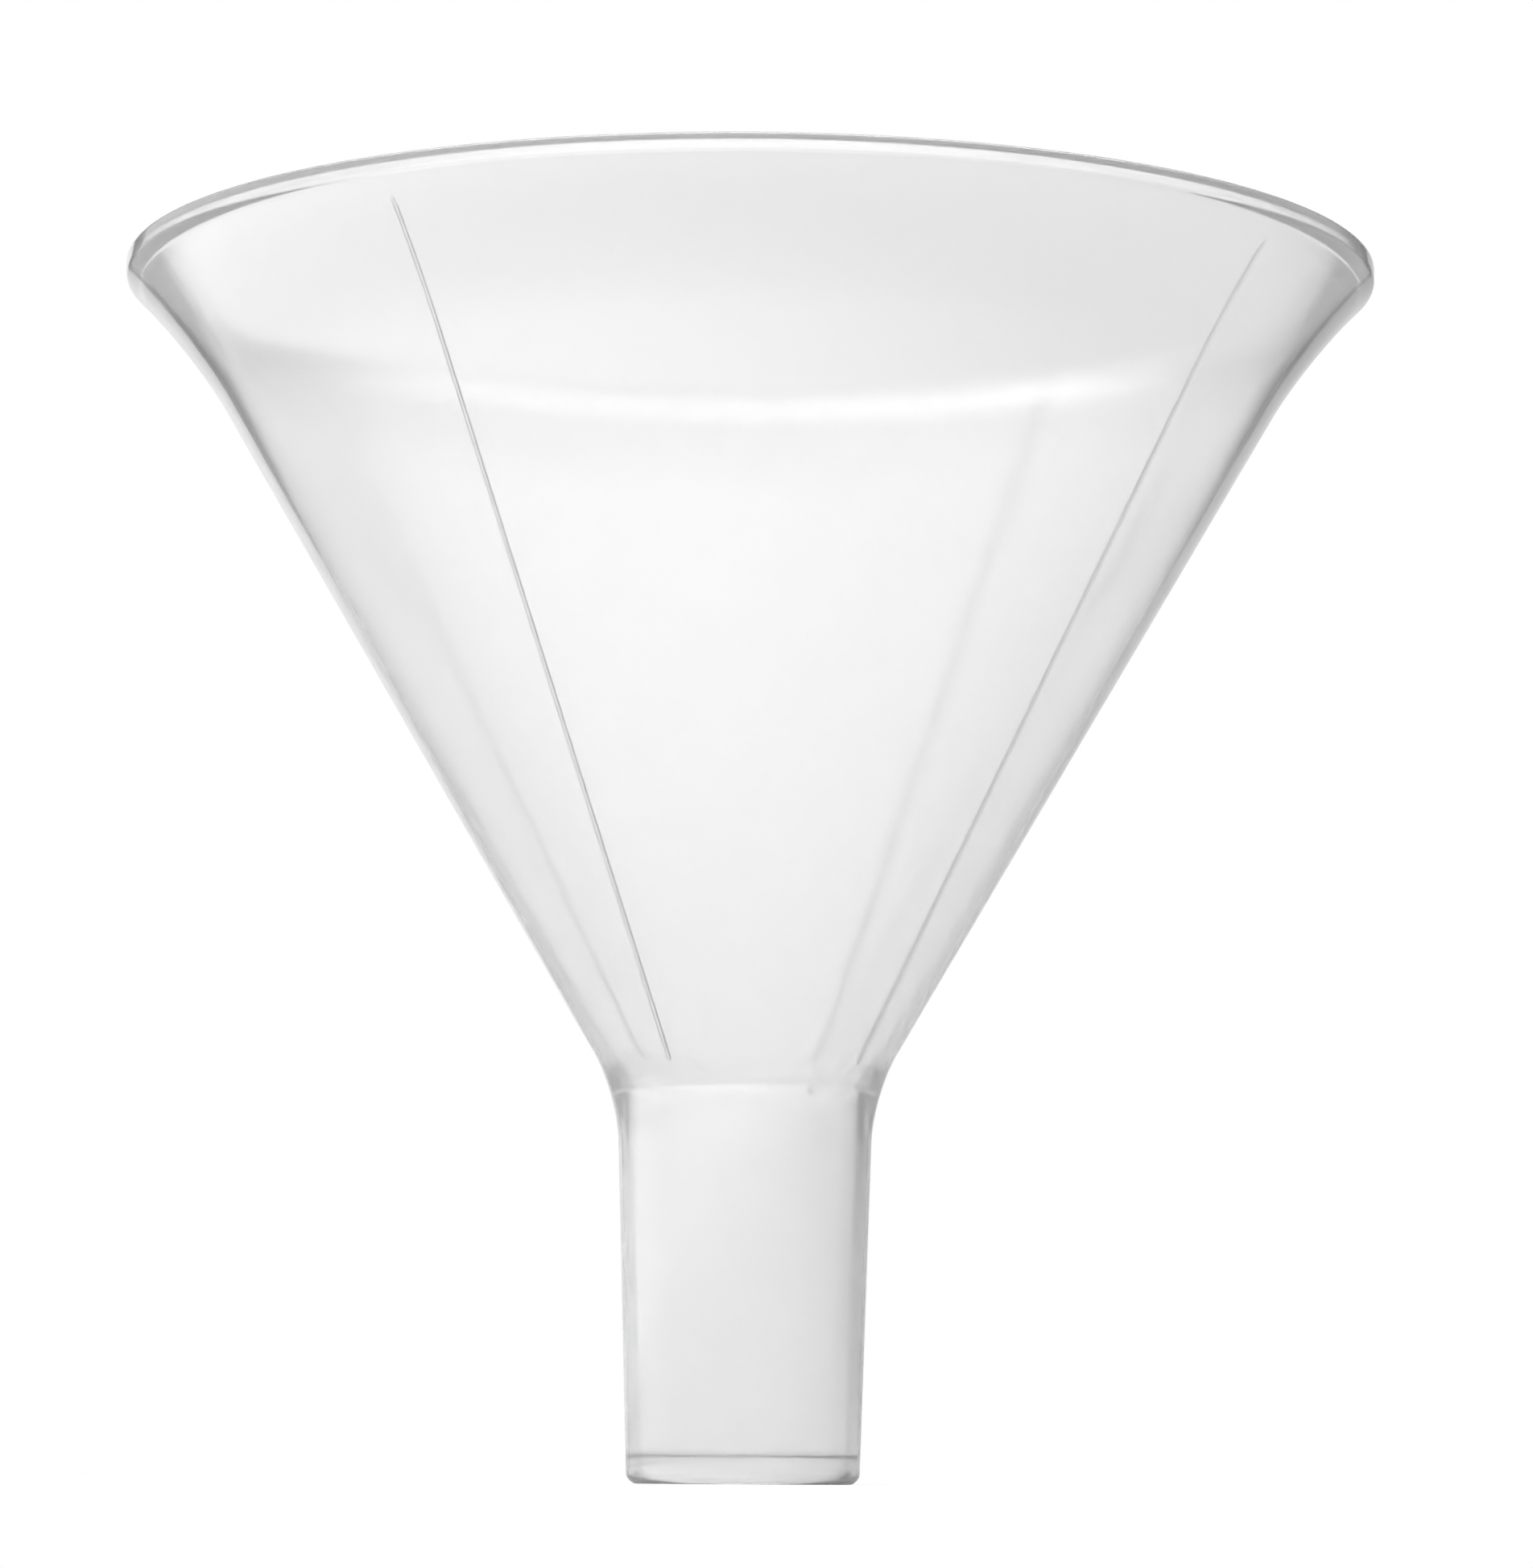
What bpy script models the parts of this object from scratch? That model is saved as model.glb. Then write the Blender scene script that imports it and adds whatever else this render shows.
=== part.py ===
"""Wide-stem kitchen funnel, moulded in one piece of natural polypropylene.

The moulding is divided at its own boundaries into named regions: the flared rim,
the cone wall, the neck, the stem, the stem's end ring and four thin vent ribs.
Run it with: blender --background --python part.py
Metres, +Z up. The origin is the centre of the stem's end face.
"""
import math

import bpy

# ---- driving dimensions -------------------------------------------------------
RIM_DIAMETER = 0.150          # across the lip, the widest place
HEIGHT = 0.145                # stem end to rim top
CONE_WALL = 0.0018            # measured square to the wall
NECK_HEIGHT = 0.046           # where the cone's line meets the stem's line
NECK_FILLET = 0.022           # outer radius between cone and stem
STEM_END_DIAMETER = 0.0275
STEM_DRAFT = math.radians(1.8)    # the stem widens upwards by this much a side
STEM_WALL = 0.0018
STEM_END_ROUND = 0.0013       # outer edge of the stem's end
END_RING_HEIGHT = 0.0033      # the slightly tighter ring inside the stem's end
END_RING_STEP = 0.00025       # how far that ring stands into the bore
LIP_HEIGHT = 0.0018           # the near upright band around the rim
LIP_OVERHANG = 0.0020         # how far the lip stands out past the cone's line
FLARE_RADIUS = 0.055          # hollow curve that leads the cone out to the lip
LIP_LOWER_ROUND = 0.0014
LIP_UPPER_ROUND = 0.0007
MOUTH_ROUND = 0.0005          # inner edge of the rim's top
RIB_COUNT = 4
RIB_WIDTH = 0.0005
RIB_PROUD = 0.0005            # height of a rib's own solid
RIB_TOP_BELOW_MOUTH = 0.0032  # a rib stops this far under the rim's top
RIB_FOOT_OVER_CREASE = 0.0027 # and this far above the sharp ring inside
REGION_GAP = 0.0003           # clearance between neighbouring solids

# ---- fineness -----------------------------------------------------------------
TURN_STEPS = 72               # a multiple of RIB_COUNT, so each rib sits on an edge
NECK_STEPS = 6
FLARE_STEPS = 7
ROUND_STEPS = 3
MERGE_DISTANCE = 0.00001
SHARP_ANGLE = math.radians(32)

# ---- derived lines of the section (radius, height) ------------------------------
RIM_RADIUS = RIM_DIAMETER / 2
LIP_CORNER_HEIGHT = HEIGHT - LIP_HEIGHT
TAN_DRAFT = math.tan(STEM_DRAFT)
NECK_RADIUS = STEM_END_DIAMETER / 2 + NECK_HEIGHT * TAN_DRAFT
TAN_CONE = (RIM_RADIUS - LIP_OVERHANG - NECK_RADIUS) / (HEIGHT - NECK_HEIGHT)
CONE_HALF_ANGLE = math.atan(TAN_CONE)
CONE_WALL_LEVEL = CONE_WALL / math.cos(CONE_HALF_ANGLE)   # the wall measured level
STEM_WALL_LEVEL = STEM_WALL / math.cos(STEM_DRAFT)


def stem_radius(height):
    return STEM_END_DIAMETER / 2 + height * TAN_DRAFT


def cone_radius(height):
    return NECK_RADIUS + (height - NECK_HEIGHT) * TAN_CONE


def stem_bore(height):
    return stem_radius(height) - STEM_WALL_LEVEL


def cone_bore(height):
    return cone_radius(height) - CONE_WALL_LEVEL


def crease_height():
    """Height of the sharp ring inside, where the cone's bore meets the stem's."""
    return NECK_HEIGHT + (CONE_WALL_LEVEL - STEM_WALL_LEVEL) / (TAN_CONE - TAN_DRAFT)


def slope_point(centre, radius, slope):
    """Point of a hollow curve where the surface leans outwards by the angle slope."""
    return (centre[0] - radius * math.cos(slope), centre[1] + radius * math.sin(slope))


def hollow_curve(centre, radius, slope_low, slope_high, steps):
    """Points down a hollow curve, from its upper slope to its lower one."""
    span = slope_high - slope_low
    return [slope_point(centre, radius, slope_high - span * k / steps) for k in range(steps + 1)]


def neck_curve():
    """The neck's outer curve, tangent to the stem's line and to the cone's."""
    tangent = NECK_FILLET * math.tan((CONE_HALF_ANGLE - STEM_DRAFT) / 2)
    foot = (NECK_RADIUS - tangent * math.sin(STEM_DRAFT),
            NECK_HEIGHT - tangent * math.cos(STEM_DRAFT))
    centre = (foot[0] + NECK_FILLET * math.cos(STEM_DRAFT),
              foot[1] - NECK_FILLET * math.sin(STEM_DRAFT))
    return hollow_curve(centre, NECK_FILLET, STEM_DRAFT, CONE_HALF_ANGLE, NECK_STEPS)


def flare_centre_and_end():
    """Centre of the flare's curve, and its slope where it meets the lip's corner."""
    cos_cone, sin_cone = math.cos(CONE_HALF_ANGLE), math.sin(CONE_HALF_ANGLE)
    stand_off = (RIM_RADIUS - cone_radius(LIP_CORNER_HEIGHT)) * cos_cone
    run = math.sqrt(2 * FLARE_RADIUS * stand_off - stand_off ** 2)
    reach = FLARE_RADIUS - stand_off
    centre = (RIM_RADIUS + reach * cos_cone - run * sin_cone,
              LIP_CORNER_HEIGHT - reach * sin_cone - run * cos_cone)
    return centre, CONE_HALF_ANGLE + math.asin(run / FLARE_RADIUS)


def flare_curve():
    """The flare's outer curve, from the lip's corner down to the cone's line."""
    centre, end_slope = flare_centre_and_end()
    return hollow_curve(centre, FLARE_RADIUS, CONE_HALF_ANGLE, end_slope, FLARE_STEPS)


def rounded(before, corner, after, radius):
    """Points round a corner of the section, tangent to both of its sides."""
    ua = (before[0] - corner[0], before[1] - corner[1])
    ub = (after[0] - corner[0], after[1] - corner[1])
    la, lb = math.hypot(*ua), math.hypot(*ub)
    ua, ub = (ua[0] / la, ua[1] / la), (ub[0] / lb, ub[1] / lb)
    half = math.acos(ua[0] * ub[0] + ua[1] * ub[1]) / 2
    tangent = radius / math.tan(half)
    bisector = (ua[0] + ub[0], ua[1] + ub[1])
    depth = radius / math.sin(half) / math.hypot(*bisector)
    centre = (corner[0] + bisector[0] * depth, corner[1] + bisector[1] * depth)
    start = math.atan2(corner[1] + ua[1] * tangent - centre[1],
                       corner[0] + ua[0] * tangent - centre[0])
    end = math.atan2(corner[1] + ub[1] * tangent - centre[1],
                     corner[0] + ub[0] * tangent - centre[0])
    sweep = (end - start + math.pi) % (2 * math.pi) - math.pi
    angles = [start + sweep * k / ROUND_STEPS for k in range(ROUND_STEPS + 1)]
    return [(centre[0] + radius * math.cos(a), centre[1] + radius * math.sin(a)) for a in angles]


# ---- heights at which the regions part ------------------------------------------
FLARE_FOOT = flare_curve()[-1][1]
NECK_TOP = neck_curve()[0][1]
NECK_FOOT = neck_curve()[-1][1]


def rim_outline():
    """Flared rim: top face, lip, hollow flare and the bore behind them."""
    foot = FLARE_FOOT + REGION_GAP / 2
    flare = flare_curve()
    inner_top = (cone_bore(HEIGHT), HEIGHT)
    outer_top = (RIM_RADIUS, HEIGHT)
    inner_foot = (cone_bore(foot), foot)
    outline = rounded(inner_top, outer_top, flare[0], LIP_UPPER_ROUND)
    outline += rounded(outer_top, flare[0], flare[1], LIP_LOWER_ROUND)
    outline += flare[1:-1]
    outline += [(cone_radius(foot), foot), inner_foot]
    outline += rounded(inner_foot, inner_top, outer_top, MOUTH_ROUND)
    return outline


def cone_outline():
    """Straight conical wall between the neck and the flare."""
    top = FLARE_FOOT - REGION_GAP / 2
    foot = NECK_TOP + REGION_GAP / 2
    return [(cone_radius(top), top), (cone_radius(foot), foot),
            (cone_bore(foot), foot), (cone_bore(top), top)]


def neck_outline():
    """Neck: a curve outside and a sharp crease inside."""
    top = NECK_TOP - REGION_GAP / 2
    foot = NECK_FOOT + REGION_GAP / 2
    crease = crease_height()
    outline = [(cone_radius(top), top)] + neck_curve()[1:-1] + [(stem_radius(foot), foot)]
    outline += [(stem_bore(foot), foot), (stem_bore(crease), crease), (cone_bore(top), top)]
    return outline


def stem_outline():
    """Drafted tube between the neck and the end ring."""
    top = NECK_FOOT - REGION_GAP / 2
    foot = END_RING_HEIGHT + REGION_GAP / 2
    return [(stem_radius(top), top), (stem_radius(foot), foot),
            (stem_bore(foot), foot), (stem_bore(top), top)]


def end_ring_outline():
    """Rounded end of the stem, with the tighter ring inside it."""
    top = END_RING_HEIGHT - REGION_GAP / 2
    bore_top = (stem_bore(top) - END_RING_STEP, top)
    bore_foot = (stem_bore(0) - END_RING_STEP, 0)
    outer_top = (stem_radius(top), top)
    end_edge = rounded(outer_top, (stem_radius(0), 0), bore_foot, STEM_END_ROUND)
    return [outer_top] + end_edge + [bore_foot, bore_top]


def off_bore(height, distance):
    """Point at a distance inside the cone's bore, square to it."""
    return (cone_bore(height) - distance * math.cos(CONE_HALF_ANGLE),
            height + distance * math.sin(CONE_HALF_ANGLE))


def rib_outline():
    """Side view of a rib: it follows the inside of the cone, a clearance away from it."""
    top = HEIGHT - RIB_TOP_BELOW_MOUTH
    foot = crease_height() + RIB_FOOT_OVER_CREASE
    near, far = REGION_GAP, REGION_GAP + RIB_PROUD
    return [off_bore(top, near), off_bore(foot, near), off_bore(foot, far), off_bore(top, far)]


# ---- materials and objects -------------------------------------------------------
def plastic(name, colour, roughness):
    material = bpy.data.materials.new(name)
    material.use_nodes = True
    shader = material.node_tree.nodes["Principled BSDF"]
    shader.inputs["Base Color"].default_value = (*colour, 1.0)
    shader.inputs["Roughness"].default_value = roughness
    shader.inputs["Metallic"].default_value = 0.0
    shader.inputs["Transmission Weight"].default_value = 0.6
    return material


def place(obj, collection, material):
    obj.data.materials.append(material)
    collection.objects.link(obj)
    return obj


def turned(name, outline, collection, material):
    """A ring solid: the closed outline swept once round the Z axis."""
    mesh = bpy.data.meshes.new(name)
    count = len(outline)
    edges = [(k, (k + 1) % count) for k in range(count)]
    mesh.from_pydata([(radius, 0.0, height) for radius, height in outline], edges, [])
    obj = place(bpy.data.objects.new(name, mesh), collection, material)
    sweep = obj.modifiers.new("sweep", "SCREW")
    sweep.steps = TURN_STEPS
    sweep.render_steps = TURN_STEPS
    sweep.use_merge_vertices = True
    sweep.merge_threshold = MERGE_DISTANCE
    sweep.use_smooth_shade = True
    return obj


def rib(name, turn, collection, material):
    """One vent rib, as a flat outline given its width and turned into place."""
    curve = bpy.data.curves.new(name, "CURVE")
    curve.dimensions = "2D"
    curve.fill_mode = "BOTH"
    curve.extrude = RIB_WIDTH / 2
    outline = rib_outline()
    spline = curve.splines.new("POLY")
    spline.points.add(len(outline) - 1)
    for point, (radius, height) in zip(spline.points, outline):
        point.co = (radius, height, 0.0, 1.0)
    spline.use_cyclic_u = True
    obj = place(bpy.data.objects.new(name, curve), collection, material)
    obj.rotation_euler = (math.pi / 2, 0.0, turn)
    return obj


def main():
    for obj in list(bpy.data.objects):
        bpy.data.objects.remove(obj, do_unlink=True)
    collection = bpy.data.collections.new("kitchen_funnel")
    bpy.context.scene.collection.children.link(collection)

    regions = (
        ("rim", rim_outline(), plastic("rim_plastic", (0.90, 0.91, 0.91), 0.30)),
        ("cone_wall", cone_outline(), plastic("cone_plastic", (0.93, 0.94, 0.94), 0.34)),
        ("neck", neck_outline(), plastic("neck_plastic", (0.91, 0.92, 0.92), 0.36)),
        ("stem", stem_outline(), plastic("stem_plastic", (0.88, 0.89, 0.89), 0.38)),
        ("stem_end_ring", end_ring_outline(), plastic("end_ring_plastic", (0.84, 0.85, 0.85), 0.38)),
    )
    for name, outline, material in regions:
        turned(name, outline, collection, material)

    rib_plastic = plastic("rib_plastic", (0.82, 0.83, 0.83), 0.32)
    for number in range(RIB_COUNT):
        turn = 2 * math.pi * number / RIB_COUNT
        rib(f"vent_rib_{number + 1}", turn, collection, rib_plastic)


main()
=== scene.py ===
"""The finished look of a translucent kitchen funnel, built around its CAD frame.

Laid out as an add-on and run as a script. Metres, +Z up; the funnel stands on its stem.
"""
import math

import bmesh
import bpy
from bpy.props import FloatProperty, FloatVectorProperty, IntProperty, PointerProperty
from mathutils import Matrix, Vector


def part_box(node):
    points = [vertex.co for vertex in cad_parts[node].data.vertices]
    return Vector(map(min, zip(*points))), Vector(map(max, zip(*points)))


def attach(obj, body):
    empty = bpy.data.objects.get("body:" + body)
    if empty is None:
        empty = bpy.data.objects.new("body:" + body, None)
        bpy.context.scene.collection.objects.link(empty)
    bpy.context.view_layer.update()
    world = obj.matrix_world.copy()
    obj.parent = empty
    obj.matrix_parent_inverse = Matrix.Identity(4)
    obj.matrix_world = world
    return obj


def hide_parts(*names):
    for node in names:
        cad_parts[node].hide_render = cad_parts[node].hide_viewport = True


bl_info = {
    "name": "Translucent Funnel",
    "version": (1, 0, 0),
    "blender": (4, 5, 0),
    "location": "View3D > Sidebar > Funnel",
    "description": "Models a moulded polypropylene funnel with its vent ribs and studio",
    "category": "Object",
}

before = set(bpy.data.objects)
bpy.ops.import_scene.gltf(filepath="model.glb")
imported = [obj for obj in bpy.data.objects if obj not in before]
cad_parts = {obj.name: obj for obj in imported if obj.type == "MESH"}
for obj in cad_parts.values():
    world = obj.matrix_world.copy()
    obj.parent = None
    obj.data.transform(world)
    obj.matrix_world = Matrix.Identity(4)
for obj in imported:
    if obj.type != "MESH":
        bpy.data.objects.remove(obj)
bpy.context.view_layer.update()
SHELL_NODES = ("rim", "cone_wall", "neck", "stem", "stem_end_ring")
RIB_NODES = sorted(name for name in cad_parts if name.startswith("vent_rib_"))
RIB_SINK = 0.0001         # a rib's root reaches this far into the wall
RIB_END_LENGTH = 0.0012   # end stretch of a rib, with closer steps than the rest
RIB_END_STEPS = 2         # along an end stretch; the rib rises out of the wall in the first
RIB_STEPS = 12            # along the rest of a rib
RIB_END_DRAW = 0.9        # share of a rib's height that its ends are drawn back
RIB_EDGE_ROUND = 0.2      # bevel along a rib's edges, as a share of its width
FLARE_MARGIN = 0.0009     # from the end of the flare's curve to the lip's lower corner
MOUTH_ROUND = 0.0006      # inner edge of the rim
BORE_END_ROUND = 0.0003   # inner edge of the stem's end
STEP_ROUND = 0.0001       # both edges of the end ring's step
CREASE_ROUND = 0.0002     # sharp inner crease between cone and bore
WITNESS_WIDTH = 0.00024   # of the mould's fine witness line
WITNESS_ROUND = 0.00003   # at the line's three edges
HOLDING_MARGIN = 0.0004   # level cuts stay at least this far from a region's ends
CONE_STEPS = 10           # steps between the cone's level cuts
STEM_STEPS = 5            # and between the stem's
PLASTIC_IOR = 1.49
CLOUD_LOW, CLOUD_HIGH = 0.3, 0.7   # noise values between which the gloss changes
GLOSS_SPREAD = 0.25       # how much the clouds change the roughness, either way
RIPPLE_DEPTH = 0.0005     # of the skin's ripple at full strength


# ---- lines of the section, read from the frame -----------------------------------------
def outer_at_top(node):
    """Radius and height where a node's outer wall ends at its top."""
    low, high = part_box(node)
    return Vector((high[0], high[2]))


RIM = outer_at_top("rim")
CONE_TOP = outer_at_top("cone_wall")
NECK_TOP = outer_at_top("neck")
STEM_TOP = outer_at_top("stem")
END_TOP = outer_at_top("stem_end_ring")
CONE_SLOPE = (CONE_TOP.x - NECK_TOP.x) / (CONE_TOP.y - NECK_TOP.y)
STEM_SLOPE = (STEM_TOP.x - END_TOP.x) / (STEM_TOP.y - END_TOP.y)
CONE_TURN = math.atan(CONE_SLOPE)
STEM_TURN = math.atan(STEM_SLOPE)


def cone_radius(height):
    return NECK_TOP.x + (height - NECK_TOP.y) * CONE_SLOPE


def stem_radius(height):
    return END_TOP.x + (height - END_TOP.y) * STEM_SLOPE


# ---- settings --------------------------------------------------------------------------
class FunnelShape(bpy.types.PropertyGroup):
    """Sizes of the moulding that the frame's boxes don't give."""
    wall: FloatProperty(
        name="Wall", description="Thickness of the moulding, square to its surface",
        default=0.0018, min=0.0008, max=0.004, unit="LENGTH")
    lip_height: FloatProperty(
        name="Lip Height", description="Upright band around the rim",
        default=0.0021, min=0.001, max=0.006, unit="LENGTH")
    lip_top_round: FloatProperty(
        name="Lip Top Round", description="Rounding of the rim's upper outer edge",
        default=0.0005, min=0.0001, max=0.001, unit="LENGTH")
    lip_lower_round: FloatProperty(
        name="Lip Lower Round", description="Rounding between the lip and the flare under it",
        default=0.0007, min=0.0001, max=0.002, unit="LENGTH")
    flare_slope: FloatProperty(
        name="Flare Slope", description="How far the flare leans out where it meets the lip",
        default=math.radians(46.5), min=math.radians(35), max=math.radians(70), unit="ROTATION")
    neck_fillet: FloatProperty(
        name="Neck Fillet", description="Outer radius between the cone and the stem",
        default=0.022, min=0.004, max=0.04, unit="LENGTH")
    stem_end_round: FloatProperty(
        name="Stem End Round", description="Rounding of the stem's outer lower edge",
        default=0.0013, min=0.0002, max=0.0016, unit="LENGTH")
    end_ring_step: FloatProperty(
        name="End Ring Step", description="How far the end ring stands into the bore",
        default=0.00025, min=0.0001, max=0.001, unit="LENGTH")
    witness_rise: FloatProperty(
        name="Witness Rise", description="Height of the mould's witness line over the inner crease",
        default=0.0027, min=0.0005, max=0.02, unit="LENGTH")
    witness_depth: FloatProperty(
        name="Witness Depth", description="Depth of the witness line in the inner wall",
        default=0.00008, min=0.00002, max=0.0003, unit="LENGTH")
    rib_width: FloatProperty(
        name="Rib Width", description="Width of a vent rib",
        default=0.0005, min=0.0002, max=0.002, unit="LENGTH")
    rib_proud: FloatProperty(
        name="Rib Height", description="How far a vent rib stands off the wall",
        default=0.00028, min=0.0001, max=0.001, unit="LENGTH")
    segments: IntProperty(
        name="Segments", description="Faces round the axis", default=240, min=48, max=360)


class FunnelFinish(bpy.types.PropertyGroup):
    """The plastic."""
    colour: FloatVectorProperty(
        name="Colour", description="Tint of the natural polypropylene",
        default=(0.96, 0.96, 0.96), size=3, min=0.0, max=1.0, subtype="COLOR")
    clearness: FloatProperty(
        name="Clearness", description="Share of light that passes unscattered",
        default=0.85, min=0.0, max=1.0, subtype="FACTOR")
    roughness: FloatProperty(
        name="Roughness", description="Blur of what is seen through the wall",
        default=0.09, min=0.0, max=1.0, subtype="FACTOR")
    bleed: FloatProperty(
        name="Bleed", description="How far scattered light travels inside the plastic",
        default=0.004, min=0.0, max=0.05, unit="LENGTH")
    cloud_depth: FloatProperty(
        name="Cloud Depth", description="How much darker the flow clouds are than the tint",
        default=0.02, min=0.0, max=0.2)
    ripple: FloatProperty(
        name="Ripple", description="Strength of the skin's fine ripple",
        default=0.03, min=0.0, max=1.0, subtype="FACTOR")


def light_level(name, description, default):
    return FloatProperty(name=name, description=description, default=default, min=0.0, max=10.0)


def light_angle(name, description, default):
    return FloatProperty(name=name, description=description, default=default, unit="ROTATION")


class FunnelStudio(bpy.types.PropertyGroup):
    """Soft light, black cards and floor."""
    hot_spot: light_level("Hot Spot", "Backdrop light straight behind the funnel", 1.0)
    backdrop_mid: light_level("Backdrop", "Backdrop light round the hot spot", 0.76)
    backdrop_edge: light_level("Backdrop Edge", "Light at the rim of the backdrop", 1.0)
    surround: light_level("Surround", "Light just outside the backdrop", 0.75)
    side: light_level("Side", "Light from the sides", 1.05)
    front: light_level("Front", "Light from beside the camera", 1.75)
    top: light_level("Top", "Extra light from overhead", 1.1)
    near_lean: light_level("Backdrop Lean", "How much brighter the backdrop is on the left", 0.75)
    left_lean: light_level("Light Lean", "How much stronger the other light is on the left", 0.5)
    aim_up: light_angle("Aim Up", "Turns the hot spot up", math.radians(2.9))
    aim_left: light_angle("Aim Left", "Turns the hot spot left", math.radians(2.0))
    card_inner: light_angle(
        "Card Inner", "Angle from the lens axis to a card's inner edge", math.radians(27))
    left_card_outer: light_angle(
        "Left Card Outer", "Angle to the left card's outer edge", math.radians(37))
    right_card_outer: light_angle(
        "Right Card Outer", "Angle to the right card's outer edge", math.radians(45))
    card_distance: FloatProperty(
        name="Card Distance", description="From the funnel to the black cards",
        default=0.8, min=0.2, max=3.0, unit="LENGTH")
    card_height: FloatProperty(
        name="Card Height", description="Height of the black cards",
        default=0.6, min=0.1, max=2.0, unit="LENGTH")
    card_low: FloatProperty(
        name="Card Level", description="Level of the cards' lower edge from the lens axis",
        default=-0.12, min=-1.0, max=1.0, unit="LENGTH")
    card_fade: FloatProperty(
        name="Card Fade", description="Over which a card thins out towards its lower edge",
        default=0.06, min=0.001, max=0.5, unit="LENGTH")
    card_depth: FloatProperty(
        name="Card Depth", description="How much light a card stops",
        default=0.95, min=0.0, max=1.0, subtype="FACTOR")
    floor: FloatProperty(
        name="Floor", description="Paleness of the floor",
        default=0.8, min=0.0, max=1.0, subtype="FACTOR")
    floor_bounce: FloatProperty(
        name="Floor Bounce", description="Share of light that the floor gives back",
        default=0.5, min=0.0, max=1.0, subtype="FACTOR")


# ---- modelling helpers -----------------------------------------------------------------
def deselect():
    if bpy.context.object and bpy.context.object.mode != "OBJECT":
        bpy.ops.object.mode_set(mode="OBJECT")
    bpy.ops.object.select_all(action="DESELECT")


def tangent_length(radius, turn):
    """How far from a corner a round of this radius starts, for a corner of this turn."""
    return radius * math.tan(abs(turn) / 2)


def select_ring(obj, point):
    """Selects the ring of edges at a radius and height."""
    reach = 1e-5
    mesh = bmesh.from_edit_mesh(obj.data)
    mesh.select_mode = {"EDGE"}
    for vert in mesh.verts:
        vert.select = False
    for edge in mesh.edges:
        edge.select = all(
            abs(math.hypot(v.co.x, v.co.y) - point[0]) < reach and abs(v.co.z - point[1]) < reach
            for v in edge.verts)
    mesh.select_flush_mode()
    bmesh.update_edit_mesh(obj.data)


def extrude_ring(old, new):
    """Extrudes the selected ring from one radius and height to the next."""
    bpy.ops.mesh.extrude_edges_move(TRANSFORM_OT_translate={"value": (0, 0, new[1] - old[1])})
    scale = new[0] / old[0]
    bpy.ops.transform.resize(value=(scale, scale, 1), center_override=(0, 0, new[1]))


def finish_piece(obj, name, nodes):
    obj.name = name
    obj.data.name = name
    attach(obj, "root")
    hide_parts(*nodes)


# ---- section of the moulding -----------------------------------------------------------
def lean_length(thickness, turn):
    """Thickness, measured level, of a wall that leans out by this angle."""
    return thickness / math.cos(turn)


def section(shape):
    """Corners of the closed section as (radius, height, round's reach, round's steps)."""
    cone_level = lean_length(shape.wall, CONE_TURN)
    stem_level = lean_length(shape.wall, STEM_TURN)
    lip_corner = Vector((RIM.x, RIM.y - shape.lip_height))
    lean = math.tan(shape.flare_slope)
    drop = (lip_corner.x - cone_radius(lip_corner.y)) / (lean - CONE_SLOPE)
    flare = Vector((lip_corner.x - drop * lean, lip_corner.y - drop))
    flare_reach = (lip_corner - flare).length - FLARE_MARGIN
    lip_reach = tangent_length(shape.lip_lower_round, shape.flare_slope)

    slope_gap = CONE_SLOPE - STEM_SLOPE
    neck_height = (stem_radius(0) - cone_radius(0)) / slope_gap
    neck_reach = tangent_length(shape.neck_fillet, CONE_TURN - STEM_TURN)
    crease_height = neck_height + (cone_level - stem_level) / slope_gap

    ring_height = END_TOP.y
    step = shape.end_ring_step
    witness_low = crease_height + shape.witness_rise
    witness_mid = witness_low + WITNESS_WIDTH / 2
    witness_high = witness_low + WITNESS_WIDTH
    witness_radius = cone_radius(witness_low) - cone_level
    return [
        (RIM.x, RIM.y, shape.lip_top_round, 5),
        (lip_corner.x, lip_corner.y, lip_reach, 6),
        (flare.x, flare.y, flare_reach, 14),
        (stem_radius(neck_height), neck_height, neck_reach, 14),
        (stem_radius(0), 0.0, shape.stem_end_round, 7),
        (stem_radius(0) - stem_level - step, 0.0, BORE_END_ROUND, 3),
        (stem_radius(ring_height) - stem_level - step, ring_height, STEP_ROUND, 2),
        (stem_radius(ring_height) - stem_level, ring_height + step, STEP_ROUND, 2),
        (stem_radius(crease_height) - stem_level, crease_height, CREASE_ROUND, 3),
        (witness_radius, witness_low, WITNESS_ROUND, 2),
        (witness_radius + shape.witness_depth, witness_mid, WITNESS_ROUND, 2),
        (cone_radius(witness_high) - cone_level, witness_high, WITNESS_ROUND, 2),
        (cone_radius(RIM.y) - cone_level, RIM.y, MOUTH_ROUND, 4),
    ]


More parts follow.
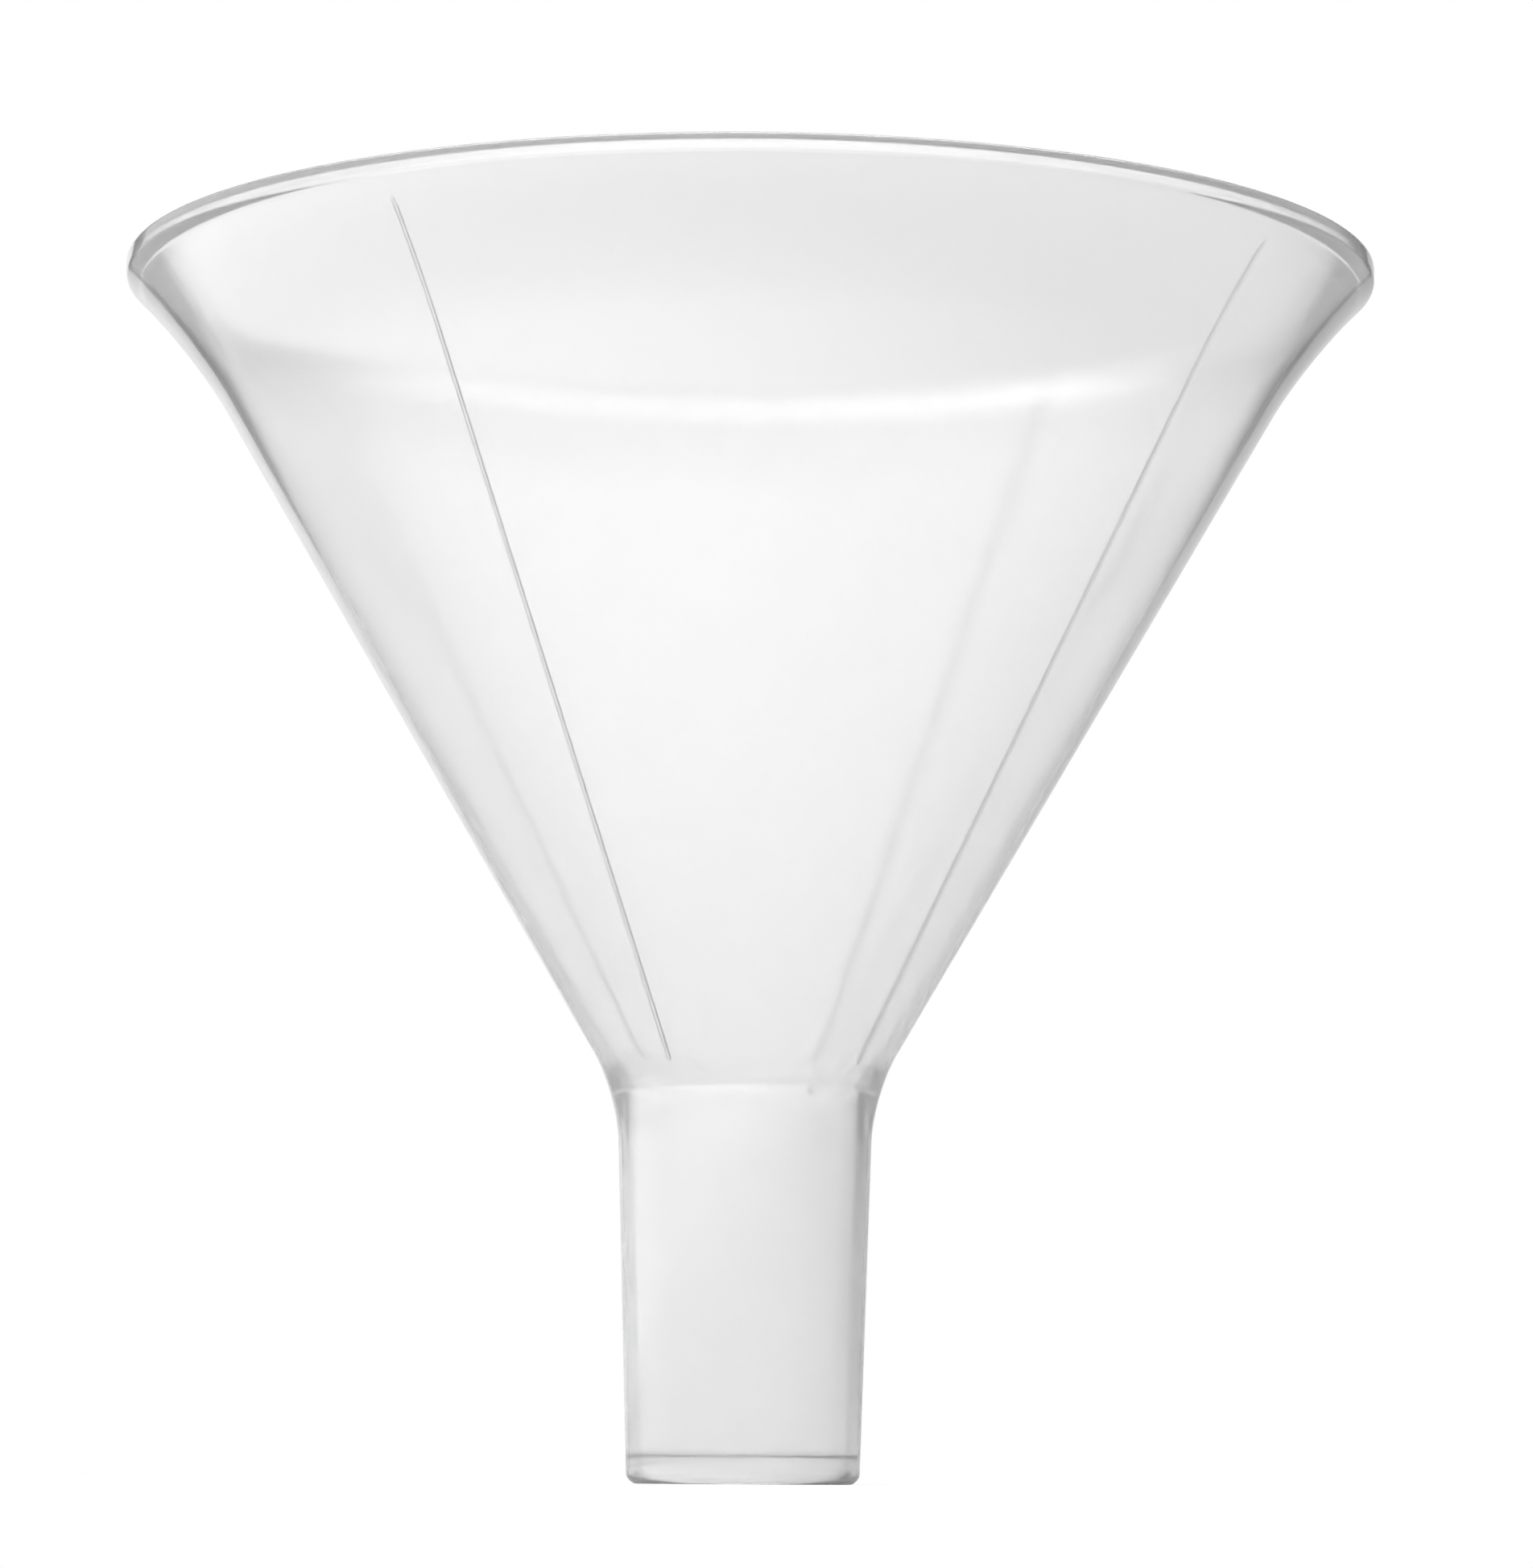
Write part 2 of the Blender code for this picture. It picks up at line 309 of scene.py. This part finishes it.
def model_shell(shape):
    corners = section(shape)
    first = corners[0]
    deselect()
    bpy.ops.mesh.primitive_circle_add(
        vertices=shape.segments, radius=first[0], fill_type="NOTHING", location=(0, 0, first[1]))
    shell = bpy.context.object
    bpy.ops.object.transform_apply(location=True, rotation=True, scale=True)
    bpy.ops.object.mode_set(mode="EDIT")
    bpy.ops.mesh.select_mode(type="EDGE")
    bpy.ops.mesh.select_all(action="SELECT")
    for old, new in zip(corners, corners[1:] + [first]):
        extrude_ring(old, new)
    bpy.ops.mesh.select_all(action="SELECT")
    bpy.ops.mesh.remove_doubles(threshold=1e-6)
    bpy.ops.mesh.normals_make_consistent(inside=False)
    for radius, height, reach, steps in corners:
        select_ring(shell, (radius, height))
        bpy.ops.mesh.bevel(offset=reach, offset_type="OFFSET", segments=steps, profile=0.5,
                           affect="EDGES", clamp_overlap=False)
    add_holding_rings()
    bpy.ops.mesh.select_all(action="SELECT")
    bpy.ops.mesh.normals_make_consistent(inside=False)
    bpy.ops.object.mode_set(mode="OBJECT")
    bpy.ops.object.shade_smooth()
    return shell


def add_holding_rings():
    """Level cuts that keep the straight walls straight in shading next to the rounds."""
    cone_cuts = spread(NECK_TOP.y + HOLDING_MARGIN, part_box("rim")[0][2] - HOLDING_MARGIN,
                       CONE_STEPS)
    stem_cuts = spread(END_TOP.y + 2 * HOLDING_MARGIN, STEM_TOP.y - HOLDING_MARGIN, STEM_STEPS)
    for height in cone_cuts + stem_cuts:
        bpy.ops.mesh.select_all(action="SELECT")
        bpy.ops.mesh.bisect(plane_co=(0, 0, height), plane_no=(0, 0, 1))


def bore_radius(shell, height):
    """Inner radius of the moulding at a height, found by a ray from the axis."""
    hit, place, _, _ = shell.ray_cast(Vector((0, 0, height)), Vector((1, 0, 0)))
    if not hit:
        raise RuntimeError("the shell has no wall at this height")
    return place.x


def rib_heights():
    """Heights of a rib's sections, from its top down: closer together at its ends."""
    low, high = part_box(RIB_NODES[0])
    foot, top = low[2], high[2]
    heights = spread(top, top - RIB_END_LENGTH, RIB_END_STEPS)
    heights += spread(top - RIB_END_LENGTH, foot + RIB_END_LENGTH, RIB_STEPS)[1:]
    heights += spread(foot + RIB_END_LENGTH, foot, RIB_END_STEPS)[1:]
    return heights


def spread(start, end, count):
    """Even steps from start to end, both included."""
    return [start + (end - start) * k / count for k in range(count + 1)]


def model_rib(shell, shape):
    """One rib on +X: a small block extruded down the inner wall, its edges rounded."""
    heights = rib_heights()
    radii = [bore_radius(shell, height) for height in heights]
    depth = shape.rib_proud + RIB_SINK
    first_step = (heights[0] - heights[1]) / 4
    deselect()
    bpy.ops.mesh.primitive_cube_add(
        size=1, location=(radii[0] + RIB_SINK - depth / 2, 0, heights[0]))
    rib = bpy.context.object
    rib.dimensions = (depth, shape.rib_width, first_step)
    bpy.ops.object.transform_apply(location=True, rotation=True, scale=True)
    bpy.ops.object.mode_set(mode="EDIT")
    bpy.ops.mesh.select_mode(type="FACE")
    select_lowest_face(rib)
    level, radius = heights[0] - first_step / 2, radii[0]
    for next_height, next_radius in zip(heights[1:], radii[1:]):
        bpy.ops.mesh.extrude_region_move(
            TRANSFORM_OT_translate={"value": (next_radius - radius, 0, next_height - level)})
        level, radius = next_height, next_radius
    thin_ends(rib, shape, radii, heights)
    bpy.ops.mesh.select_all(action="SELECT")
    bpy.ops.mesh.normals_make_consistent(inside=False)
    bpy.ops.object.mode_set(mode="OBJECT")
    soften = rib.modifiers.new("soften", "BEVEL")
    soften.width = shape.rib_width * RIB_EDGE_ROUND
    soften.segments = 2
    soften.limit_method = "ANGLE"
    soften.angle_limit = math.radians(60)
    bpy.ops.object.modifier_apply(modifier=soften.name)
    bpy.ops.object.shade_smooth_by_angle(angle=math.radians(50))
    return rib


def select_lowest_face(obj):
    mesh = bmesh.from_edit_mesh(obj.data)
    for face in mesh.faces:
        face.select_set(False)
    min(mesh.faces, key=lambda face: face.calc_center_median().z).select_set(True)
    bmesh.update_edit_mesh(obj.data)


def thin_ends(rib, shape, radii, heights):
    """Draws each end's free edge back, so that the rib rises out of the wall."""
    mesh = bmesh.from_edit_mesh(rib.data)
    for radius, height in ((radii[0], heights[0]), (radii[-1], heights[-1])):
        for vert in mesh.verts:
            at_end = abs(vert.co.z - height) < RIB_END_LENGTH / 4
            vert.select = at_end and vert.co.x < radius
        mesh.select_flush_mode()
        bmesh.update_edit_mesh(rib.data)
        bpy.ops.transform.translate(value=(RIB_END_DRAW * shape.rib_proud, 0, 0))
        mesh = bmesh.from_edit_mesh(rib.data)


def copy_round(piece, quarter):
    """A copy of a piece with its own mesh, turned anticlockwise by quarter turns.

    The minus is there because transform.rotate turns the other way without a window.
    """
    deselect()
    piece.select_set(True)
    bpy.context.view_layer.objects.active = piece
    bpy.ops.object.duplicate(linked=False)
    copy = bpy.context.object
    bpy.ops.transform.rotate(value=-quarter * math.pi / 2, orient_axis="Z", center_override=(0, 0, 0))
    bpy.ops.object.transform_apply(location=True, rotation=True, scale=True)
    return copy


# ---- material --------------------------------------------------------------------------
def pattern(tree, place, scale, stretch, detail):
    """Soft noise on the piece's own coordinates, drawn out along the axis by stretch."""
    mapping = tree.nodes.new("ShaderNodeMapping")
    mapping.inputs["Scale"].default_value = (1, 1, 1 / stretch)
    noise = tree.nodes.new("ShaderNodeTexNoise")
    noise.inputs["Scale"].default_value = scale
    noise.inputs["Detail"].default_value = detail
    tree.links.new(place.outputs["Object"], mapping.inputs["Vector"])
    tree.links.new(mapping.outputs["Vector"], noise.inputs["Vector"])
    return noise.outputs["Fac"]


def plastic(name, finish):
    """Milky polypropylene: flow clouds in its tint and gloss, and a faintly rippled skin."""
    material = bpy.data.materials.new(name)
    material.use_nodes = True
    tree = material.node_tree
    shader = tree.nodes["Principled BSDF"]
    shader.inputs["IOR"].default_value = PLASTIC_IOR
    shader.inputs["Transmission Weight"].default_value = finish.clearness
    shader.inputs["Subsurface Weight"].default_value = 1.0
    shader.inputs["Subsurface Radius"].default_value = (1.0, 1.0, 1.0)
    shader.inputs["Subsurface Scale"].default_value = finish.bleed

    place = tree.nodes.new("ShaderNodeTexCoord")
    clouds = pattern(tree, place, scale=55, stretch=4, detail=3)
    tint = tree.nodes.new("ShaderNodeMix")
    tint.data_type = "RGBA"
    tint.inputs["A"].default_value = (*(channel - finish.cloud_depth for channel in finish.colour), 1)
    tint.inputs["B"].default_value = (*finish.colour, 1)
    tree.links.new(clouds, tint.inputs["Factor"])
    tree.links.new(tint.outputs["Result"], shader.inputs["Base Color"])

    gloss = tree.nodes.new("ShaderNodeMapRange")
    gloss.inputs["From Min"].default_value = CLOUD_LOW
    gloss.inputs["From Max"].default_value = CLOUD_HIGH
    gloss.inputs["To Min"].default_value = finish.roughness * (1 - GLOSS_SPREAD)
    gloss.inputs["To Max"].default_value = finish.roughness * (1 + GLOSS_SPREAD)
    tree.links.new(clouds, gloss.inputs["Value"])
    tree.links.new(gloss.outputs["Result"], shader.inputs["Roughness"])

    ripple = tree.nodes.new("ShaderNodeBump")
    ripple.inputs["Strength"].default_value = finish.ripple
    ripple.inputs["Distance"].default_value = RIPPLE_DEPTH
    tree.links.new(pattern(tree, place, scale=320, stretch=2, detail=2), ripple.inputs["Height"])
    tree.links.new(ripple.outputs["Normal"], shader.inputs["Normal"])
    return material


# ---- operators -------------------------------------------------------------------------
class FUNNEL_OT_shell(bpy.types.Operator):
    """Model the moulding: rim, cone, neck, stem and end ring as one wall"""
    bl_idname = "funnel.shell"
    bl_label = "Model Shell"

    def execute(self, context):
        scene = context.scene
        shell = model_shell(scene.funnel_shape)
        shell.data.materials.append(plastic("natural_polypropylene", scene.funnel_finish))
        finish_piece(shell, "funnel_shell", SHELL_NODES)
        return {"FINISHED"}


class FUNNEL_OT_ribs(bpy.types.Operator):
    """Model one vent rib and set it round the bore at every quarter turn"""
    bl_idname = "funnel.ribs"
    bl_label = "Model Vent Ribs"

    def execute(self, context):
        scene = context.scene
        material = plastic("rib_polypropylene", scene.funnel_finish)
        first = model_rib(bpy.data.objects["funnel_shell"], scene.funnel_shape)
        for quarter, node in reversed(list(enumerate(RIB_NODES))):
            rib = copy_round(first, quarter) if quarter else first
            rib.data.materials.append(material)
            finish_piece(rib, node + "_moulded", [node])
        return {"FINISHED"}


class FUNNEL_OT_stage(bpy.types.Operator):
    """Set the camera, the soft light, the black cards and the floor"""
    bl_idname = "funnel.stage"
    bl_label = "Set Stage"

    def execute(self, context):
        studio = context.scene.funnel_studio
        context.scene.view_settings.view_transform = "Standard"
        make_camera()
        make_world()
        make_tent(studio)
        black = card_black(studio)
        make_card(studio, "left_card", -studio.card_inner, -studio.left_card_outer, black)
        make_card(studio, "right_card", studio.card_inner, studio.right_card_outer, black)
        make_floor(studio)
        return {"FINISHED"}


# ---- stage -----------------------------------------------------------------------------
CAMERA_AZIMUTH = math.radians(34.3)
CAMERA_DISTANCE = 0.675
CAMERA_HEIGHT = 0.001
CAMERA_PITCH = math.radians(6.94)
CAMERA_YAW = math.radians(0.195)
CAMERA_ROLL = math.radians(0.35)
CAMERA_LENS = 130.5
TENT_RADIUS = 4.0
FLOOR_RADIUS = 1.4
RAMP_TOP = 4.0            # light level that the tent's colour ramp shows as white
TENT_STOPS = (            # degrees from the lens axis, and the setting that holds there
    (0, "hot_spot"), (3, "hot_spot"), (8, "backdrop_mid"), (15, "backdrop_edge"),
    (25, "surround"), (40, "surround"), (60, "side"), (95, "side"),
    (125, "front"), (150, "front"))
LEAN_NEAR = math.radians(20)   # from here in, the backdrop's lean holds
LEAN_FAR = math.radians(50)    # from here out, the other light's lean holds
OVERHEAD_LOW = 0.5             # sines of the heights between which the top light comes in
OVERHEAD_HIGH = 0.9


def make_camera():
    data = bpy.data.cameras.new("camera")
    data.lens = CAMERA_LENS
    data.sensor_width = 36
    camera = bpy.data.objects.new("camera", data)
    bpy.context.scene.collection.objects.link(camera)
    camera.location = (CAMERA_DISTANCE * math.sin(CAMERA_AZIMUTH),
                       -CAMERA_DISTANCE * math.cos(CAMERA_AZIMUTH), CAMERA_HEIGHT)
    turn = (Matrix.Rotation(CAMERA_AZIMUTH - CAMERA_YAW, 4, "Z")
            @ Matrix.Rotation(math.pi / 2 + CAMERA_PITCH, 4, "X")
            @ Matrix.Rotation(CAMERA_ROLL, 4, "Z"))
    camera.rotation_euler = turn.to_euler()
    bpy.context.scene.camera = camera


def make_world():
    """Plain white where the camera looks past the funnel; the tent gives all the light."""
    world = bpy.data.worlds.new("plain_white")
    bpy.context.scene.world = world
    world.use_nodes = True
    tree = world.node_tree
    path = tree.nodes.new("ShaderNodeLightPath")
    tree.links.new(path.outputs["Is Camera Ray"], tree.nodes["Background"].inputs["Strength"])
    tree.nodes["Background"].inputs["Color"].default_value = (1, 1, 1, 1)


def tent_glow(studio):
    """Soft light that changes with the angle from the lens axis, stronger from the left."""
    material = bpy.data.materials.new("tent_glow")
    material.use_nodes = True
    tree = material.node_tree
    nodes, link = tree.nodes, tree.links.new
    nodes.remove(nodes["Principled BSDF"])
    place = nodes.new("ShaderNodeTexCoord")
    direction = nodes.new("ShaderNodeVectorMath")
    direction.operation = "NORMALIZE"
    split = nodes.new("ShaderNodeSeparateXYZ")
    link(place.outputs["Object"], direction.inputs[0])
    link(direction.outputs["Vector"], split.inputs[0])

    angle = math_link(tree, "ARCCOSINE", math_link(tree, "MULTIPLY", split.outputs["Z"], -1))
    curve = nodes.new("ShaderNodeValToRGB")
    link(math_link(tree, "DIVIDE", angle, math.pi), curve.inputs["Fac"])
    ramp = curve.color_ramp
    ramp.interpolation = "B_SPLINE"
    for turn, _ in TENT_STOPS[2:]:
        ramp.elements.new(turn / 180)
    for element, (turn, setting) in zip(ramp.elements, TENT_STOPS):
        level = getattr(studio, setting) / RAMP_TOP
        element.position = turn / 180
        element.color = (level, level, level, 1)
    round_light = math_link(tree, "MULTIPLY", curve.outputs["Color"], RAMP_TOP)

    lean = soft_step(nodes, LEAN_NEAR, LEAN_FAR, "LINEAR")
    lean.inputs["To Min"].default_value = -studio.near_lean
    lean.inputs["To Max"].default_value = -studio.left_lean
    link(angle, lean.inputs["Value"])
    left_share = math_link(tree, "MULTIPLY_ADD", lean.outputs[0], split.outputs["X"], 1)
    leaning_light = math_link(tree, "MULTIPLY", round_light, left_share)

    overhead = soft_step(nodes, OVERHEAD_LOW, OVERHEAD_HIGH, "SMOOTHSTEP")
    overhead.inputs["To Max"].default_value = studio.top
    link(split.outputs["Y"], overhead.inputs["Value"])
    glow = nodes.new("ShaderNodeEmission")
    link(math_link(tree, "ADD", leaning_light, overhead.outputs[0]), glow.inputs["Strength"])
    link(glow.outputs[0], nodes["Material Output"].inputs["Surface"])
    return material


def soft_step(nodes, low, high, way):
    """A Map Range node that rises from 0 to 1 between two values."""
    step = nodes.new("ShaderNodeMapRange")
    step.interpolation_type = way
    step.inputs["From Min"].default_value = low
    step.inputs["From Max"].default_value = high
    return step


def math_link(tree, operation, *values):
    """A Math node fed by sockets or plain numbers; gives its output socket."""
    node = tree.nodes.new("ShaderNodeMath")
    node.operation = operation
    for socket, value in zip(node.inputs, values):
        if isinstance(value, bpy.types.NodeSocket):
            tree.links.new(value, socket)
        else:
            socket.default_value = value
    return node.outputs[0]


def make_tent(studio):
    deselect()
    bpy.ops.mesh.primitive_uv_sphere_add(segments=48, ring_count=24, radius=TENT_RADIUS)
    tent = bpy.context.object
    tent.name = "light_tent"
    tent.data.materials.append(tent_glow(studio))
    tent.parent = bpy.context.scene.camera
    tent.location = (0, 0, -CAMERA_DISTANCE)
    tent.rotation_euler = (studio.aim_up, studio.aim_left, 0)
    tent.visible_camera = False
    tent.visible_shadow = False


def card_black(studio):
    """Black card that thins out towards its lower edge."""
    material = bpy.data.materials.new("card_black")
    material.use_nodes = True
    tree = material.node_tree
    nodes, link = tree.nodes, tree.links.new
    black = nodes["Principled BSDF"]
    black.inputs["Base Color"].default_value = (0.01, 0.01, 0.01, 1)
    black.inputs["Roughness"].default_value = 0.9
    open_air = nodes.new("ShaderNodeBsdfTransparent")
    fade = nodes.new("ShaderNodeMixShader")
    place = nodes.new("ShaderNodeTexCoord")
    split = nodes.new("ShaderNodeSeparateXYZ")
    edge = nodes.new("ShaderNodeMapRange")
    edge.interpolation_type = "SMOOTHSTEP"
    edge.inputs["From Max"].default_value = studio.card_fade
    edge.inputs["To Max"].default_value = studio.card_depth
    link(place.outputs["Object"], split.inputs[0])
    link(split.outputs["Y"], edge.inputs["Value"])
    link(edge.outputs[0], fade.inputs["Fac"])
    link(open_air.outputs[0], fade.inputs[1])
    link(black.outputs[0], fade.inputs[2])
    link(fade.outputs[0], nodes["Material Output"].inputs["Surface"])
    return material


def make_card(studio, name, inner, outer, material):
    """An upright card behind the funnel, between two angles from the lens axis."""
    deselect()
    middle = (inner + outer) / 2
    width = 2 * studio.card_distance * math.tan(abs(outer - inner) / 2)
    bpy.ops.mesh.primitive_plane_add(size=1)
    card = bpy.context.object
    bpy.ops.object.mode_set(mode="EDIT")
    bpy.ops.transform.translate(value=(0, 0.5, 0))
    bpy.ops.transform.resize(value=(width, studio.card_height, 1), center_override=(0, 0, 0))
    bpy.ops.object.mode_set(mode="OBJECT")
    card.name = name
    card.data.materials.append(material)
    card.parent = bpy.context.scene.camera
    card.location = (studio.card_distance * math.sin(middle), studio.card_low,
                     -CAMERA_DISTANCE - studio.card_distance * math.cos(middle))
    card.rotation_euler = (0, -middle, 0)
    card.visible_camera = False
    card.visible_shadow = False
    card.visible_diffuse = False


def make_floor(studio):
    deselect()
    bpy.ops.mesh.primitive_circle_add(vertices=96, radius=FLOOR_RADIUS, fill_type="NGON")
    floor = bpy.context.object
    floor.name = "floor"
    material = bpy.data.materials.new("pale_floor")
    material.use_nodes = True
    tree = material.node_tree
    shader = tree.nodes["Principled BSDF"]
    shader.inputs["Roughness"].default_value = 0.7
    path = tree.nodes.new("ShaderNodeLightPath")
    tone = tree.nodes.new("ShaderNodeMapRange")
    tone.inputs["To Min"].default_value = studio.floor_bounce
    tone.inputs["To Max"].default_value = studio.floor
    tree.links.new(path.outputs["Is Camera Ray"], tone.inputs["Value"])
    tree.links.new(tone.outputs[0], shader.inputs["Base Color"])
    floor.data.materials.append(material)


# ---- panel and start -------------------------------------------------------------------
class FUNNEL_PT_sidebar(bpy.types.Panel):
    """Lists the funnel's operators and settings"""
    bl_idname = "FUNNEL_PT_sidebar"
    bl_label = "Translucent Funnel"
    bl_space_type = "VIEW_3D"
    bl_region_type = "UI"
    bl_category = "Funnel"

    def draw(self, context):
        scene = context.scene
        for operator in (FUNNEL_OT_shell, FUNNEL_OT_ribs, FUNNEL_OT_stage):
            self.layout.operator(operator.bl_idname)
        for title, settings in (("Shape", scene.funnel_shape), ("Finish", scene.funnel_finish),
                                ("Studio", scene.funnel_studio)):
            box = self.layout.box()
            box.label(text=title)
            for name in settings.__annotations__:
                box.prop(settings, name)


CLASSES = (FunnelShape, FunnelFinish, FunnelStudio, FUNNEL_OT_shell, FUNNEL_OT_ribs,
           FUNNEL_OT_stage, FUNNEL_PT_sidebar)


def register():
    for cls in CLASSES:
        bpy.utils.register_class(cls)
    bpy.types.Scene.funnel_shape = PointerProperty(type=FunnelShape)
    bpy.types.Scene.funnel_finish = PointerProperty(type=FunnelFinish)
    bpy.types.Scene.funnel_studio = PointerProperty(type=FunnelStudio)


def unregister():
    del bpy.types.Scene.funnel_studio
    del bpy.types.Scene.funnel_finish
    del bpy.types.Scene.funnel_shape
    for cls in reversed(CLASSES):
        bpy.utils.unregister_class(cls)


def main():
    register()
    bpy.ops.funnel.shell()
    bpy.ops.funnel.ribs()
    bpy.ops.funnel.stage()


if __name__ == "__main__":
    main()
